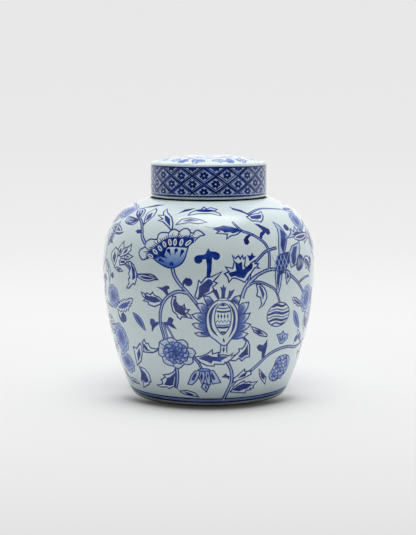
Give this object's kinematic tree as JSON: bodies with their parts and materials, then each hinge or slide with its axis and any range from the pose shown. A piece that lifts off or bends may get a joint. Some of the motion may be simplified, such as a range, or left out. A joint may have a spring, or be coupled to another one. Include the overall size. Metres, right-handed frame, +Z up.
{
  "type": "ginger jar",
  "caption": "Round porcelain jar with a broad belly, a narrow foot ring and a cap lid that lifts off its short neck.",
  "frame": {"origin": "centre of the foot ring, on the surface that the jar stands on", "axes": "+Z up through the lid; the jar and the lid are turned about Z"},
  "size_m": [0.2, 0.2, 0.223],
  "materials": {
    "jar_glaze": "clear gloss glaze over pale porcelain painted in cobalt blue",
    "lid_glaze": "clear gloss glaze over pale porcelain painted in cobalt blue"
  },
  "bodies": {
    "jar": {"jar_body": "jar_glaze"},
    "lid": {"lid": "lid_glaze"}
  },
  "joints": [
    {"name": "lid_lift", "type": "slide", "parent": "jar", "child": "lid", "axis": [0, 0, 1], "range_m": [0, 0.12]}
  ]
}
